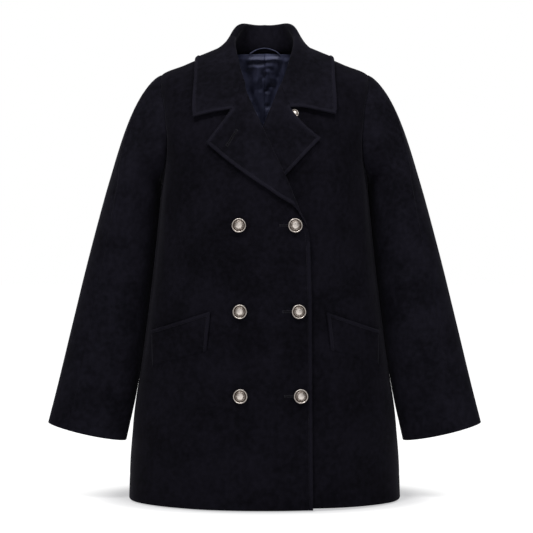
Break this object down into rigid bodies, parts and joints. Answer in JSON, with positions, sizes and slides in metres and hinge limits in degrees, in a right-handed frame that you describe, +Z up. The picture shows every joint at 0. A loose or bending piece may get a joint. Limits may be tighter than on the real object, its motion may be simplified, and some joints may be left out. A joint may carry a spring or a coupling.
{
  "type": "overcoat",
  "caption": "Short double-breasted wool overcoat with wide notched lapels, a folded collar, set-in sleeves and slanted welt pockets, filled out as it is worn.",
  "frame": {"origin": "midway between the two high points of the shoulders, at the neck, where the wearer holds the coat up", "axes": "+X towards the wearer's left, +Y towards the back, +Z up; the front faces -Y"},
  "size_m": [0.771, 0.3273, 0.8607],
  "materials": {
    "wool": "napped melton wool, near-black navy",
    "satin": "dark navy lining satin",
    "button_metal": "aged silver-coloured metal"
  },
  "bodies": {
    "root": {"back": "wool", "front_right": "wool", "front_left": "wool", "lapel_right": "wool", "lapel_left": "wool", "collar": "wool", "sleeve_right_front": "wool", "sleeve_right_back": "wool", "sleeve_left_front": "wool", "sleeve_left_back": "wool", "pocket_welt_right": "wool", "pocket_welt_left": "wool", "lining_back_right": "satin", "lining_back_left": "satin", "hanger_loop": "satin", "button_1": "button_metal", "button_2": "button_metal", "button_3": "button_metal", "button_4": "button_metal", "button_5": "button_metal", "button_6": "button_metal", "button_lapel": "button_metal"}
  },
  "joints": []
}
